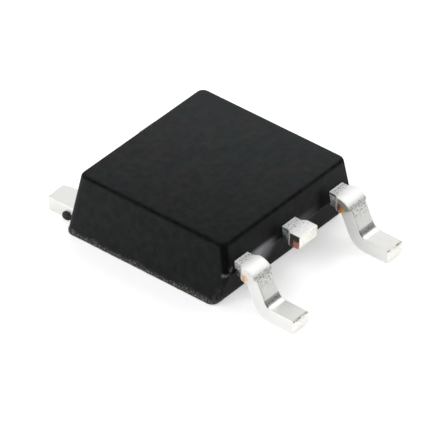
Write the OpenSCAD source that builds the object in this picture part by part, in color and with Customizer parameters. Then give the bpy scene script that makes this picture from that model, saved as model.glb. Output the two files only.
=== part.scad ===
// Surface-mount power transistor in a two-lead gull-wing package with a
// soldered heat tab. All sizes are in millimetres.
//
// +Y points from the leads to the heat tab, +X to the source lead and +Z up.
// The origin is on the seating plane, under the middle of the whole outline.

/* [Overall] */
// Length from the tips of the two feet to the end of the heat tab
overall_len = 9.68; // [9.40:0.02:10.30]
// Distance between the centre lines of neighbouring leads
lead_pitch = 2.286; // [2.236:0.01:2.336]

/* [Moulded body] */
// Width of the body across its underside
body_w = 6.28; // [6.22:0.01:6.70]
// Height of the body above the seating plane
body_h = 2.29; // [2.20:0.01:2.39]
// Distance from the tips of the feet to the body's underside
lead_reach = 2.69; // [2.62:0.01:2.80]
// How far each side leans in between the underside and the top
side_lean = 0.19; // [0.10:0.01:0.26]
// How far the back face leans in between the underside and the top
back_lean = 0.38; // [0.20:0.01:0.45]
// Height of the parting line on the lead side
parting_z = 1.25; // [1.20:0.01:1.40]
// How far the lead side undercuts from the parting line to the underside
nose_out = 0.42; // [0.30:0.01:0.46]
// How far the lead side leans in between the parting line and the top
brow_lean = 0.20; // [0.10:0.01:0.30]
// Radius of the four upright corners
corner_r = 0.25; // [0.16:0.01:0.35]
// Radius of the edge round the top face
top_edge_r = 0.13; // [0.05:0.01:0.15]

/* [Mould gate stub] */
// How far the resin stub runs along the side of the tab
stub_len = 0.56; // [0.30:0.02:0.70]
// Height of the resin stub
stub_h = 0.30; // [0.20:0.01:0.40]
// Depth of the notch in the side of the tab that the stub fills
stub_notch = 0.10; // [0.05:0.01:0.20]
// How far the stub stands out of the side of the tab
stub_proud = 0.10; // [0.05:0.01:0.20]

/* [Leadframe strip] */
// Thickness of the copper strip
strip_t = 0.48; // [0.46:0.01:0.52]
// Height of the leads' upper face where they leave the body
lead_top_z = 1.60; // [1.58:0.01:1.68]
// Width of a lead where it leaves the body
neck_w = 0.66; // [0.60:0.01:0.76]
// Length of the narrow neck outside the parting line
neck_out = 0.16; // [0.12:0.01:0.24]
// Length of the sloping shoulders between neck and tie-bar stubs
shoulder_len = 0.16; // [0.10:0.01:0.20]
// Width across the sheared stubs of the tie bar
tie_w = 0.86; // [0.82:0.01:1.00]
// Length of the tie-bar section that is left on the cut middle lead
tie_len = 0.39; // [0.30:0.01:0.60]
// Width of the legs and feet of the two outer leads
foot_w = 0.72; // [0.66:0.01:0.80]

/* [Lead forming] */
// Angle of the legs below the horizontal
leg_angle = 64; // [60:1:68]
// Angle of the upper bend that the tie-bar stubs cover
tie_bend = 57; // [45:1:58]
// Radius inside the upper bend
knee_r = 0.12; // [0.10:0.01:0.16]
// Radius inside the bend above the foot
heel_r = 0.30; // [0.20:0.01:0.34]

/* [Heat tab and paddle] */
// How far the tab stands out of the body
tab_out = 1.19; // [0.95:0.01:1.27]
// Width of the heat tab
tab_w = 5.16; // [5.00:0.02:5.40]
// Width of each ear at the end of the tab
ear_w = 0.79; // [0.50:0.01:1.00]
// Slant of the end of each ear
ear_slant = 0.03; // [0.01:0.01:0.06]
// Depth of the recess between the two ears
recess_depth = 0.55; // [0.30:0.01:0.60]
// How far each side of the recess slopes in over its depth
recess_draft = 0.12; // [0.05:0.01:0.20]
// Distance from the lead-side edge of the underside to the paddle
paddle_setback = 1.53; // [1.45:0.01:1.60]
// Width of the paddle inside the body
paddle_w = 4.90; // [4.80:0.02:5.00]
// Width of the lip round the paddle that locks it in the resin
lip_w = 0.20; // [0.10:0.01:0.30]
// Thickness of that lip
lip_t = 0.24; // [0.16:0.01:0.30]
// Width of the strip that rises from the paddle to the middle lead
riser_w = 1.10; // [0.90:0.01:1.20]
// Angle of that rising strip
riser_angle = 52; // [48:1:60]
// Radius inside the riser's two bends
riser_r = 0.15; // [0.10:0.01:0.20]
// Length of the riser's level end, where the neck begins
riser_land = 0.10; // [0.05:0.01:0.14]

/* [Bond posts] */
// Distance from the parting line to the front edge of both posts
post_setback = 0.45; // [0.35:0.01:0.55]
// Length of both posts
post_len = 0.80; // [0.70:0.01:0.90]
// How far both posts reach past the lead's centre line to the outside
post_outer = 0.42; // [0.36:0.01:0.45]
// How far the gate post reaches past the centre line to the middle
gate_post_inner = 0.76; // [0.50:0.01:0.90]
// How far the source post reaches past the centre line to the middle
source_post_inner = 1.16; // [1.10:0.01:1.25]

/* [Silicon die] */
// Width of the die
die_w = 3.20; // [3.00:0.02:3.40]
// Length of the die
die_l = 2.60; // [2.50:0.02:2.80]
// Thickness of the die
die_t = 0.20; // [0.15:0.01:0.25]
// Distance from the paddle's front edge to the die
die_setback = 0.52; // [0.45:0.01:0.70]
// Thickness of the solder under the die
solder_t = 0.04; // [0.02:0.01:0.06]
// Width of the solder fillet round the die
solder_margin = 0.06; // [0.03:0.01:0.10]

/* [Bond wires] */
// Diameter of the thin gate wire
gate_wire_d = 0.13; // [0.10:0.01:0.15]
// Diameter of the two thick source wires
source_wire_d = 0.30; // [0.25:0.01:0.32]
// Length of each wire's flattened foot
wire_foot_len = 0.50; // [0.40:0.01:0.56]
// Height of a wire's centre line over its foot, as a share of its diameter
wire_seat = 0.35; // [0.34:0.01:0.38]
// Angle at which a wire climbs from the die
wire_climb = 45; // [42:1:50]
// Angle at which a wire comes down on its post
wire_dive = 15; // [14:1:18]
// Radius of the bend where a wire leaves the die
wire_lift_r = 0.30; // [0.25:0.01:0.35]
// Radius of the top of a wire's loop
wire_crown_r = 0.45; // [0.35:0.01:0.50]
// Radius of the bend where a wire meets its post
wire_land_r = 0.30; // [0.25:0.01:0.32]
// Distance from the die's front edge to the gate wire's foot centre
gate_pad_inset = 0.45; // [0.40:0.01:0.55]
// Distance from the die's left edge to the gate wire's foot centre
gate_pad_side = 0.40; // [0.35:0.01:0.50]
// Distance from the die's front edge to the source wires' foot centres
source_pad_inset = 1.05; // [0.95:0.01:1.15]
// Distance from the die's right edge to the nearer source wire's foot centre
source_pad_side = 0.55; // [0.45:0.01:0.65]
// Distance between the source wires' feet on the die
source_pad_gap = 0.75; // [0.65:0.01:0.85]
// Distance between the source wires' feet on the post
source_post_gap = 0.65; // [0.60:0.01:0.70]
// How far the feet on the posts sit in front of the posts' middle
post_foot_shift = 0.08; // [0.07:0.01:0.10]

/* [Hidden] */

// Thickness of the discs that stand for a level of a hull
level_t = 0.001;
// Extra reach of a cutting shape past the face that it cuts
cut_past = 0.20;
$fn = 48;

// Places along Y, from the tab to the feet
tab_end_y = overall_len / 2;
foot_tip_y = -overall_len / 2;
body_back_y = tab_end_y - tab_out;
body_front_y = foot_tip_y + lead_reach;
nose_y = body_front_y - nose_out;
knee_y = nose_y - neck_out - shoulder_len;
paddle_front_y = body_front_y + paddle_setback;
die_front_y = paddle_front_y + die_setback;
post_front_y = nose_y + post_setback;
post_mid_y = post_front_y + post_len / 2;

// Heights
lead_bottom_z = lead_top_z - strip_t;
die_bottom_z = strip_t + solder_t;
die_top_z = die_bottom_z + die_t;

// Body section at a height: half width, back face and lead-side face
function half_w_at(z) = body_w / 2 - side_lean * z / body_h;
function back_y_at(z) = body_back_y - back_lean * z / body_h;
function front_y_at(z) = z < parting_z
    ? body_front_y - nose_out * z / parting_z
    : nose_y + brow_lean * (z - parting_z) / (body_h - parting_z);

// Lead forming: the straight leg fills what the two bends leave of the drop,
// and the flat foot runs from the heel to the tip
knee_mid_r = knee_r + strip_t / 2;
heel_mid_r = heel_r + strip_t / 2;
bends_r = knee_mid_r + heel_mid_r;
leg_len = (lead_bottom_z - bends_r * (1 - cos(leg_angle))) / sin(leg_angle);
formed_len = bends_r * sin(leg_angle) + leg_len * cos(leg_angle);

// Centres [y, z] of the two bends, which the leads are formed round
knee = [knee_y, lead_bottom_z - knee_r];
heel = [knee_y - formed_len, strip_t + heel_r];

// The riser between paddle and middle lead, by the same rule
riser_mid_r = riser_r + strip_t / 2;
riser_len = (lead_bottom_z - 2 * riser_mid_r * (1 - cos(riser_angle))) / sin(riser_angle);
riser_run = 2 * riser_mid_r * sin(riser_angle) + riser_len * cos(riser_angle);
inner_lead_y = paddle_front_y - riser_run;

// Feet of the wires: [x, y] of the centres on the die and on the posts. On a
// post they sit forward, so that the wire has lifted before the post's edge.
post_foot_y = post_mid_y - post_foot_shift;
gate_pad = [-die_w / 2 + gate_pad_side, die_front_y + gate_pad_inset];
gate_post = [-lead_pitch + (gate_post_inner - post_outer) / 2, post_foot_y];
source_pads = [for (i = [0, 1])
    [die_w / 2 - source_pad_side - i * source_pad_gap, die_front_y + source_pad_inset]];
source_posts = [for (i = [-1, 1])
    [lead_pitch - (source_post_inner - post_outer) / 2 - i * source_post_gap / 2, post_foot_y]];

// ---------------------------------------------------------------- strip work
// Points [y, z] along an arc about centre c, from angle a0 to angle a1
function arc(c, r, a0, a1, steps = 12) =
    [for (i = [0:steps]) let (a = a0 + (a1 - a0) * i / steps) c + r * [cos(a), sin(a)]];

// Extrudes a side view, drawn in Y and Z, to a width w across X
module across(w, side_view) {
    translate([-w / 2, 0, 0]) rotate([90, 0, 90]) linear_extrude(w) polygon(side_view);
}

// Plan of a neck that widens over its shoulders to the tie-bar stubs at y1
module neck_plan(y0, y1) {
    linear_extrude(strip_t)
        polygon([
            [-neck_w / 2, y0], [-neck_w / 2, knee_y + shoulder_len], [-tie_w / 2, knee_y],
            [-tie_w / 2, y1], [tie_w / 2, y1],
            [tie_w / 2, knee_y], [neck_w / 2, knee_y + shoulder_len], [neck_w / 2, y0]
        ]);
}

// ------------------------------------------------------------- moulded resin
// Upright corner discs of the body's outline at height z, centred at each of ys
module corner_discs(z, ys) {
    x = half_w_at(z) - corner_r;
    for (side = [-1, 1], y = ys)
        translate([side * x, y, z]) cylinder(r = corner_r, h = level_t, $fn = 32);
}

// The corners of the top face have a rounded upper edge
module top_corners() {
    x = half_w_at(body_h) - corner_r;
    for (side = [-1, 1], y = [front_y_at(body_h) + corner_r, back_y_at(body_h) - corner_r])
        translate([side * x, y, body_h - top_edge_r])
            rotate_extrude($fn = 32) {
                square([corner_r - top_edge_r, top_edge_r]);
                translate([corner_r - top_edge_r, 0])
                    intersection() {
                        circle(r = top_edge_r, $fn = 32);
                        square(top_edge_r);
                    }
            }
}

// The lead side stands out furthest at the parting line
module body_outside() {
    hull() {
        corner_discs(0, [front_y_at(0) + corner_r, back_y_at(0) - corner_r]);
        corner_discs(parting_z, [nose_y + corner_r]);
        top_corners();
    }
}

// Stub of resin in the notch beside the tab, where the mould was filled
module gate_stub() {
    end_r = stub_notch + stub_proud;
    translate([-tab_w / 2 + stub_notch - end_r, 0, 0]) {
        translate([0, back_y_at(stub_h) - cut_past, 0])
            cube([end_r, body_back_y + stub_len - end_r - back_y_at(stub_h) + cut_past, stub_h]);
        translate([end_r, body_back_y + stub_len - end_r, 0])
            intersection() {
                cylinder(r = end_r, h = stub_h);
                translate([-end_r, 0, 0]) cube([end_r, end_r, stub_h]);
            }
    }
}

// Everything that the resin was moulded round
module embedded() {
    drain_leadframe();
    gate_lead();
    source_lead();
    silicon_die();
    die_attach_solder();
    gate_bond_wire();
    source_bond_wire(0);
    source_bond_wire(1);
}

module moulded_body() {
    color([0.13, 0.13, 0.14])
        difference() {
            union() {
                body_outside();
                gate_stub();
            }
            embedded();
        }
}

// ---------------------------------------------------------- metal leadframe
// Plan of the tab, with its two ears, and of the paddle's full-width upper lip
module paddle_plan() {
    root_y = tab_end_y - recess_depth;
    ear_x = tab_w / 2 - ear_w;
    polygon([
        [-tab_w / 2, tab_end_y - ear_slant], [-tab_w / 2, body_back_y],
        [-paddle_w / 2, body_back_y - (tab_w - paddle_w) / 2], [-paddle_w / 2, paddle_front_y],
        [paddle_w / 2, paddle_front_y], [paddle_w / 2, body_back_y - (tab_w - paddle_w) / 2],
        [tab_w / 2, body_back_y], [tab_w / 2, tab_end_y - ear_slant],
        [ear_x, tab_end_y], [ear_x - recess_draft, root_y],
        [-ear_x + recess_draft, root_y], [-ear_x, tab_end_y]
    ]);
}

// What is coined away under the paddle's lip
module lip_cut() {
    under_t = strip_t - lip_t;
    inner_w = paddle_w - 2 * lip_w;
    len = body_back_y - lip_w - paddle_front_y;
    for (side = [-1, 1])
        translate([side > 0 ? inner_w / 2 : -inner_w / 2 - lip_w - cut_past,
                   paddle_front_y - cut_past, -cut_past])
            cube([lip_w + cut_past, len + cut_past, under_t + cut_past]);
    translate([-paddle_w / 2 - cut_past, paddle_front_y - cut_past, -cut_past])
        cube([paddle_w + 2 * cut_past, lip_w + cut_past, under_t + cut_past]);
}

// The middle lead climbs from the paddle through two bends of equal angle
module riser() {
    low = [paddle_front_y, strip_t + riser_r];
    high = [inner_lead_y, lead_bottom_z - riser_r];
    across(riser_w, concat(
        [[die_front_y, strip_t]],
        arc(low, riser_r, -90, -90 - riser_angle),
        arc(high, riser_r + strip_t, 90 - riser_angle, 90),
        [[inner_lead_y - riser_land, lead_top_z], [inner_lead_y - riser_land, lead_bottom_z]],
        arc(high, riser_r, 90, 90 - riser_angle),
        arc(low, riser_r + strip_t, -90 - riser_angle, -90),
        [[die_front_y, 0]]
    ));
}

module drain_leadframe() {
    color([0.80, 0.80, 0.79]) {
        difference() {
            linear_extrude(strip_t) paddle_plan();
            lip_cut();
            gate_stub();
        }
        riser();
        // the middle lead was cut off past its tie bar
        translate([0, 0, lead_bottom_z]) neck_plan(inner_lead_y, knee_y - tie_len);
    }
}

// Side view of a gull-wing lead from its neck at y0, over the knee, down the
// leg and through the heel to the tip of the foot
function knee_arc(r, a0, a1) = arc(knee, r, 90 + a0, 90 + a1);
function heel_arc(r, a0, a1) = arc(heel, r, a0 - 90, a1 - 90);
function lead_view(y0) = concat(
    [[y0, lead_top_z]],
    knee_arc(knee_r + strip_t, 0, tie_bend),
    leg_view(),
    knee_arc(knee_r, tie_bend, 0),
    [[y0, lead_bottom_z]]
);
// The part of that view past the tie-bar stubs
function leg_view() = concat(
    knee_arc(knee_r + strip_t, tie_bend, leg_angle),
    heel_arc(heel_r, leg_angle, 0),
    [[foot_tip_y, strip_t], [foot_tip_y, 0]],
    heel_arc(heel_r + strip_t, 0, leg_angle),
    knee_arc(knee_r, leg_angle, tie_bend)
);
// The part of that view under the tie-bar stubs
function tie_view() = concat(
    knee_arc(knee_r + strip_t, 0, tie_bend),
    knee_arc(knee_r, tie_bend, 0)
);

// A gull-wing lead from its bond post to the tip of its foot
module outer_lead(post_left, post_right) {
    translate([-post_left, post_front_y, lead_bottom_z])
        cube([post_left + post_right, post_len, strip_t]);
    across(neck_w, lead_view(post_mid_y));
    across(tie_w, tie_view());
    across(foot_w, leg_view());
    translate([0, 0, lead_bottom_z]) neck_plan(post_mid_y, knee_y);
}

module gate_lead() {
    color([0.82, 0.82, 0.81])
        translate([-lead_pitch, 0, 0]) outer_lead(post_outer, gate_post_inner);
}

module source_lead() {
    color([0.82, 0.82, 0.81])
        translate([lead_pitch, 0, 0]) outer_lead(source_post_inner, post_outer);
}

// ------------------------------------------------------- die and its bonding
module silicon_die() {
    color([0.45, 0.47, 0.52])
        translate([-die_w / 2, die_front_y, die_bottom_z]) cube([die_w, die_l, die_t]);
}

module die_attach_solder() {
    color([0.62, 0.62, 0.60])
        translate([-die_w / 2 - solder_margin, die_front_y - solder_margin, strip_t])
            cube([die_w + 2 * solder_margin, die_l + 2 * solder_margin, solder_t]);
}

// Wire pieces start at the origin, run along +X and carry what follows them
module wire_run(d, len) {
    rotate([0, 90, 0]) cylinder(d = d, h = len);
    translate([len, 0, 0]) children();
}

module wire_turn_up(d, r, angle) {
    translate([0, 0, r]) rotate([90, 0, 0]) rotate([0, 0, -90])
        rotate_extrude(angle = angle) translate([r, 0]) circle(d = d);
    translate([0, 0, r]) rotate([0, -angle, 0]) translate([0, 0, -r]) children();
}

module wire_turn_down(d, r, angle) {
    mirror([0, 0, 1]) wire_turn_up(d, r, angle);
    translate([0, 0, -r]) rotate([0, angle, 0]) translate([0, 0, r]) children();
}

// A wedge-bonded wire from a pad on the die to a post: up, over and down.
// The two straight stretches take what the bends leave of run and rise.
module bond_wire(d, pad, post) {
    way = post - pad;
    run = norm(way) - wire_foot_len;
    rise = lead_top_z - die_top_z;
    bends_run = (wire_lift_r + wire_crown_r) * sin(wire_climb)
        + (wire_crown_r + wire_land_r) * sin(wire_dive);
    bends_rise = wire_lift_r * (1 - cos(wire_climb))
        + wire_crown_r * (cos(wire_dive) - cos(wire_climb))
        - wire_land_r * (1 - cos(wire_dive));
    a = run - bends_run;
    b = rise - bends_rise;
    up_len = (a * sin(wire_dive) + b * cos(wire_dive)) / sin(wire_climb + wire_dive);
    down_len = (a * sin(wire_climb) - b * cos(wire_climb)) / sin(wire_climb + wire_dive);
    seat = wire_seat * d;
    half_foot = wire_foot_len / 2;
    translate([pad[0], pad[1], 0])
        rotate([0, 0, atan2(way[1], way[0])])
            difference() {
                translate([-half_foot, 0, die_top_z + seat])
                    wire_run(d, wire_foot_len)
                        wire_turn_up(d, wire_lift_r, wire_climb)
                            wire_run(d, up_len)
                                wire_turn_down(d, wire_crown_r, wire_climb + wire_dive)
                                    wire_run(d, down_len)
                                        wire_turn_up(d, wire_land_r, wire_dive)
                                            wire_run(d, wire_foot_len);
                // the feet are pressed flat on the die and on the post
                translate([-wire_foot_len, -d, die_top_z - d])
                    cube([2 * wire_foot_len, 2 * d, d]);
                translate([norm(way) - wire_foot_len, -d, lead_top_z - d])
                    cube([2 * wire_foot_len, 2 * d, d]);
            }
}

module gate_bond_wire() {
    color([0.86, 0.86, 0.87]) bond_wire(gate_wire_d, gate_pad, gate_post);
}

module source_bond_wire(i) {
    color([0.86, 0.86, 0.87]) bond_wire(source_wire_d, source_pads[i], source_posts[i]);
}

moulded_body();
drain_leadframe();
gate_lead();
source_lead();
silicon_die();
die_attach_solder();
gate_bond_wire();
source_bond_wire(0);  // source_bond_wire_1
source_bond_wire(1);  // source_bond_wire_2
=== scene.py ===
# %% [markdown]
# # A surface-mount power transistor
# This lesson dresses a small power transistor: a black moulded block with a
# copper strip inside it. The strip comes out as two bent leads, one cut-off
# lead and a wide heat tab. The solids are already fixed, so the work here is
# in the surfaces: how resin leaves its mould and how tinned copper looks
# where it was stamped, bent and sheared.

import bpy
import numpy as np
from mathutils import Matrix


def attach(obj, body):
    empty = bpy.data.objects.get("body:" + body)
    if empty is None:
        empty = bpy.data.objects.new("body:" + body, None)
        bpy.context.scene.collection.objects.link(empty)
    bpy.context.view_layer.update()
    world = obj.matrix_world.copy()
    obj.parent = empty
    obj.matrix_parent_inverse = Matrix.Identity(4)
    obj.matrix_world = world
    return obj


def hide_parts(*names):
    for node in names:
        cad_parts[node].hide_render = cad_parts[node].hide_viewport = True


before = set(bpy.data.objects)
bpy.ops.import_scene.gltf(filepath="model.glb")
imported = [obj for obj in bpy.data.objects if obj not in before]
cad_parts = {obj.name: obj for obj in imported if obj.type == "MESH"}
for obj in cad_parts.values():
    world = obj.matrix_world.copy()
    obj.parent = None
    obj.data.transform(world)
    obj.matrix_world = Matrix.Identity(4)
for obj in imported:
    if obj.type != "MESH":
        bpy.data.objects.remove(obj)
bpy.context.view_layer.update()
print("solids:", sorted(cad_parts))

# %% [markdown]
# ## Sizes
# The solids come from a drawing in millimetres, and Blender works in metres.
# The new surfaces have to lie where the solids are, so the drawing's sizes are
# repeated here under their own names. A piece is worked out in millimetres,
# and one function turns it to metres when it becomes a mesh.

# %% Sizes of the moulded body, in millimetres
MM = 0.001
BODY_W, BODY_H, BODY_LEN = 6.28, 2.29, 5.80
SIDE_LEAN, BACK_LEAN = 0.19, 0.38
PARTING_Z, NOSE_OUT, BROW_LEAN = 1.25, 0.42, 0.20
CORNER_R, TOP_EDGE_R = 0.25, 0.13
TAB_END_Y, TAB_OUT = 4.84, 1.19
BODY_BACK_Y = TAB_END_Y - TAB_OUT
BODY_FRONT_Y = BODY_BACK_Y - BODY_LEN
NOSE_Y = BODY_FRONT_Y - NOSE_OUT

# %% Sizes of the copper strip, in millimetres
STRIP_T, LEAD_TOP_Z, LEAD_PITCH = 0.48, 1.60, 2.286
NECK_W, TIE_W, FOOT_W = 0.66, 0.86, 0.72
NECK_OUT, SHOULDER_LEN, TIE_LEN = 0.16, 0.16, 0.39
LEG_ANGLE, TIE_BEND = np.radians(64), np.radians(57)
KNEE_R, HEEL_R = 0.12, 0.30
POST_SETBACK, POST_LEN = 0.45, 0.80
POST_OUTER, GATE_POST_INNER, SOURCE_POST_INNER = 0.42, 0.76, 1.16
KNEE_Y = NOSE_Y - NECK_OUT - SHOULDER_LEN
FOOT_TIP_Y = -TAB_END_Y
print("the leads start to bend at y", round(KNEE_Y, 3), "mm")

# %% Sizes of the tab, the paddle and the riser, in millimetres
TAB_W, EAR_W, EAR_SLANT = 5.16, 0.79, 0.03
RECESS_DEPTH, RECESS_DRAFT = 0.55, 0.12
PADDLE_W, PADDLE_LEN, LIP_W, LIP_T = 4.90, 4.27, 0.20, 0.24
PADDLE_FRONT_Y = BODY_BACK_Y - PADDLE_LEN
DIE_FRONT_Y = PADDLE_FRONT_Y + 0.52
RISER_W, RISER_ANGLE, RISER_R = 1.10, np.radians(52), 0.15

# %% [markdown]
# ## Camera
# The part is about a centimetre long and is seen from its left front corner,
# from well above. A long lens keeps parallel edges parallel, as product
# pictures of small parts do. The camera is placed by a turn about the
# upright axis, a lift above the table and a slight roll.

# %% The camera
CAMERA_PLACE = (-0.131587, -0.103805, 0.126100)
CAMERA_AZIMUTH, CAMERA_ELEVATION, CAMERA_ROLL = np.radians((-51.712, 36.879, 1.217))
LENS_MM, SENSOR_MM = 559.96, 36.0


def camera_axes(azimuth, elevation, roll):
    """Columns are the camera's right, up and backward directions. Backward
    points from the object to the camera; the roll turns the other two."""
    back = np.array((np.sin(azimuth) * np.cos(elevation),
                     -np.cos(azimuth) * np.cos(elevation), np.sin(elevation)))
    right = np.cross((0, 0, 1), back)
    right /= np.linalg.norm(right)
    up = np.cross(back, right)
    return np.column_stack((right * np.cos(roll) + up * np.sin(roll),
                            up * np.cos(roll) - right * np.sin(roll), back))


camera = bpy.data.objects.new("camera", bpy.data.cameras.new("camera"))
camera.data.lens, camera.data.sensor_width = LENS_MM, SENSOR_MM
camera.data.clip_start, camera.data.clip_end = 0.01, 5.0
turn = Matrix(camera_axes(CAMERA_AZIMUTH, CAMERA_ELEVATION, CAMERA_ROLL).tolist())
camera.matrix_world = Matrix.Translation(CAMERA_PLACE) @ turn.to_4x4()
bpy.context.scene.collection.objects.link(camera)
bpy.context.scene.camera = camera
bpy.context.scene.view_settings.view_transform = "Standard"

# %% [markdown]
# ## Colours and nodes
# Colours are written as the hex codes a picture editor shows. Blender wants
# linear light, so one function converts them. One more function adds a node,
# sets its options and wires its inputs, which keeps every material readable
# from its source to its shader. Short names stand for the nodes that come up
# most often.

# %% Colour and node helpers


def tint(code):
    """sRGB hex to linear RGBA: below 0.04045 a straight line, above it a
    power of 2.4."""
    c = np.array([int(code[i:i + 2], 16) for i in (1, 3, 5)]) / 255
    linear = np.where(c <= 0.04045, c / 12.92, ((c + 0.055) / 1.055) ** 2.4)
    return (*linear.tolist(), 1.0)


def node(tree, kind, inputs=None, **settings):
    """Adds a node. inputs maps a socket's name or number to a value or to
    another node's output; a node stands for its first output."""
    made = tree.nodes.new("ShaderNode" + kind)
    for key, value in settings.items():
        setattr(made, key, value)
    for key, value in (inputs or {}).items():
        if isinstance(value, bpy.types.Node):
            value = value.outputs[0]
        if isinstance(value, bpy.types.NodeSocket):
            tree.links.new(value, made.inputs[key])
        else:
            made.inputs[key].default_value = value
    return made


def empty_material(name):
    """A material whose node tree holds nothing yet."""
    material = bpy.data.materials.new(name)
    material.use_nodes = True
    material.node_tree.nodes.clear()
    return material, material.node_tree


# %% Nodes that the materials need often


def noise(tree, place, size_mm, detail, roughness=0.5):
    """Cloudy values that change over about size_mm."""
    return node(tree, "TexNoise", {"Vector": place, "Scale": 1 / (size_mm * MM),
                                   "Detail": detail, "Roughness": roughness}).outputs["Fac"]


def marks_on(tree, names):
    """The marks that a skin carries, by name."""
    return {name: node(tree, "Attribute", attribute_name=name).outputs["Fac"] for name in names}


def step(tree, value, start, end, low=0.0, high=1.0):
    """Turns a value from start to end into low to high."""
    return node(tree, "MapRange", {"Value": value, "From Min": start, "From Max": end,
                                   "To Min": low, "To Max": high})


def times(tree, a, b):
    """Multiplies two values."""
    return node(tree, "Math", {0: a, 1: b}, operation="MULTIPLY")


def larger(tree, a, b):
    """The larger of two values."""
    return node(tree, "Math", {0: a, 1: b}, operation="MAXIMUM")


def times_plus(tree, a, factor, b, **settings):
    """a times factor, plus b."""
    return node(tree, "Math", {0: a, 1: factor, 2: b}, operation="MULTIPLY_ADD", **settings)


def mixed(tree, share, a, b):
    """Goes from colour a to colour b, which are the node's inputs 6 and 7."""
    return node(tree, "Mix", {0: share, 6: a, 7: b}, data_type="RGBA").outputs[2]


# %% [markdown]
# ## Floor and light
# Small parts are pictured on white card under large soft lights. The card
# must come out white without flooding the part with light, so its own colour
# is a little brighter for the eye and for reflections than it is for the
# light that bounces on. Each window is placed by the face that mirrors it: the
# back left one whitens the rolled edges of the tin, the left and right ones
# light the leads' sides and knees, the low one reaches the legs, and a small
# one close behind gives flat tops their sheen.

# %% The floor
FLOOR_SIZE, FLOOR_Z = 6.0, -2e-6
floor_mesh = bpy.data.meshes.new("floor")
half = FLOOR_SIZE / 2
floor_mesh.from_pydata([(-half, -half, FLOOR_Z), (half, -half, FLOOR_Z),
                        (half, half, FLOOR_Z), (-half, half, FLOOR_Z)], [], [(0, 1, 2, 3)])
floor = bpy.data.objects.new("floor", floor_mesh)
bpy.context.scene.collection.objects.link(floor)

card, tree = empty_material("white_card")
path = node(tree, "LightPath")
seen = larger(tree, path.outputs["Is Camera Ray"], path.outputs["Is Glossy Ray"])
seen = larger(tree, seen, path.outputs["Is Transmission Ray"])
lit = node(tree, "BsdfDiffuse", {"Color": tint("#f2f2f2")})
glow = node(tree, "Emission", {"Color": tint("#ffffff"), "Strength": 0.42})
nothing = node(tree, "Emission", {"Strength": 0.0})
extra = node(tree, "MixShader", {0: seen, 1: nothing, 2: glow})
both = node(tree, "AddShader", {0: lit, 1: extra})
node(tree, "OutputMaterial", {"Surface": both})
floor_mesh.materials.append(card)

# %% The lights


def soft_light(name, azimuth, elevation, distance, size, power):
    """A square light that faces the part from a direction in degrees, at a
    distance and with a side in metres, and with a power in watts."""
    light = bpy.data.lights.new(name, "AREA")
    light.shape, light.size, light.energy = "SQUARE", size, power
    lamp = bpy.data.objects.new(name, light)
    axes = camera_axes(np.radians(azimuth), np.radians(elevation), 0.0)
    lamp.matrix_world = (Matrix.Translation((axes[:, 2] * distance).tolist())
                         @ Matrix(axes.tolist()).to_4x4())
    lamp.visible_camera = False
    bpy.context.scene.collection.objects.link(lamp)


soft_light("window_back_left", azimuth=-131, elevation=40, distance=0.30, size=0.30, power=0.44)
soft_light("window_left", azimuth=-75, elevation=45, distance=0.30, size=0.30, power=0.22)
soft_light("window_right", azimuth=74, elevation=50, distance=0.30, size=0.22, power=0.27)
soft_light("window_low", azimuth=39, elevation=8, distance=0.30, size=0.20, power=0.04)
soft_light("window_behind", azimuth=128, elevation=37, distance=0.06, size=0.05, power=0.0064)
world = bpy.data.worlds.new("room")
world.use_nodes = True
world.node_tree.nodes["Background"].inputs["Color"].default_value = tint("#ffffff")
world.node_tree.nodes["Background"].inputs["Strength"].default_value = 0.30
bpy.context.scene.world = world

# %% [markdown]
# ## From arrays to meshes
# Every new piece is a stack of closed rings. A ring is a rounded rectangle,
# and all rings of a piece are worked out at once as one array with a row for
# each ring and a column for each place around it. Neighbouring rings are
# joined by quads, and the first and last ring are closed by one flat face.

# %% Rounded rectangles as arrays


def rounded_loop(corner_steps, flat_steps, side_steps):
    """Places round a rectangle, against the clock from its right side.
    A place lies a share t of the way from one corner's arc to the next one's,
    with the direction (dx, dy) in which its corner's radius points. The
    signs say which corners these are."""
    columns = []
    signs = [(1, 1), (-1, 1), (-1, -1), (1, -1)]
    for c, straight in enumerate((flat_steps, side_steps, flat_steps, side_steps)):
        a = np.linspace(c, c + 1, corner_steps + 1) * np.pi / 2
        t = np.linspace(0, 1, straight + 1)[1:-1]
        a = np.concatenate((a, np.full(t.size, a[-1])))
        t = np.concatenate((np.zeros(corner_steps + 1), t))
        here, there = signs[c], signs[(c + 1) % 4]
        columns.append(np.stack((np.full(t.size, here[0]), np.full(t.size, here[1]),
                                 np.full(t.size, there[0]), np.full(t.size, there[1]),
                                 t, np.cos(a), np.sin(a))))
    return np.concatenate(columns, 1)


def place_loop(loop, left, right, low, high, r_low, r_high):
    """Turns the places into x and y for many rectangles at once, one per row.
    A single number holds for all rows.
    A corner's centre is its radius in from both sides, and a place on a
    straight side is the mix of the two arcs' ends that it lies between."""
    sx0, sy0, sx1, sy1, t, dx, dy = loop[:, None, :]
    left, right, low, high, r_low, r_high = (
        np.asarray(v, float).reshape(-1, 1) for v in (left, right, low, high, r_low, r_high))

    def arc_point(sx, sy):
        r = np.where(sy > 0, r_high, r_low)
        cx = np.where(sx > 0, right - r, left + r)
        cy = np.where(sy > 0, high - r, low + r)
        return cx + r * dx, cy + r * dy

    x0, y0 = arc_point(sx0, sy0)
    x1, y1 = arc_point(sx1, sy1)
    return x0 + (x1 - x0) * t, y0 + (y1 - y0) * t


# %% Patches of smooth chance
LATTICE = 64


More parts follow.
